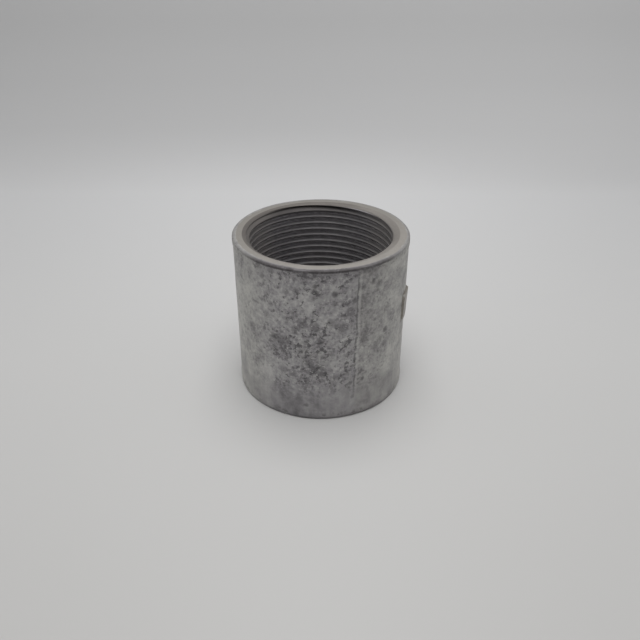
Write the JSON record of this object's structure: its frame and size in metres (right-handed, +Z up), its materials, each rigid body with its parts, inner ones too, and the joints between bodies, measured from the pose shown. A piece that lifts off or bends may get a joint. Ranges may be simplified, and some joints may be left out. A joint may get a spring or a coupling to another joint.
{
  "type": "threaded conduit coupling",
  "caption": "Short galvanised steel sleeve with a straight internal pipe thread right through, joining two conduit ends in line.",
  "frame": {"origin": "on the bore axis, in the plane of the lower end face that the coupling stands on", "axes": "+Z up the bore axis; -Y towards the viewer of the picture; +X to that viewer's right, 14 degrees past the middle of the raised blank pad"},
  "size_m": [0.0556, 0.0552, 0.0524],
  "materials": {
    "galvanised_steel": "dull hot-dip galvanised coating, mottled grey, with darker threads inside"
  },
  "bodies": {
    "root": {"coupling": "galvanised_steel"}
  },
  "joints": []
}
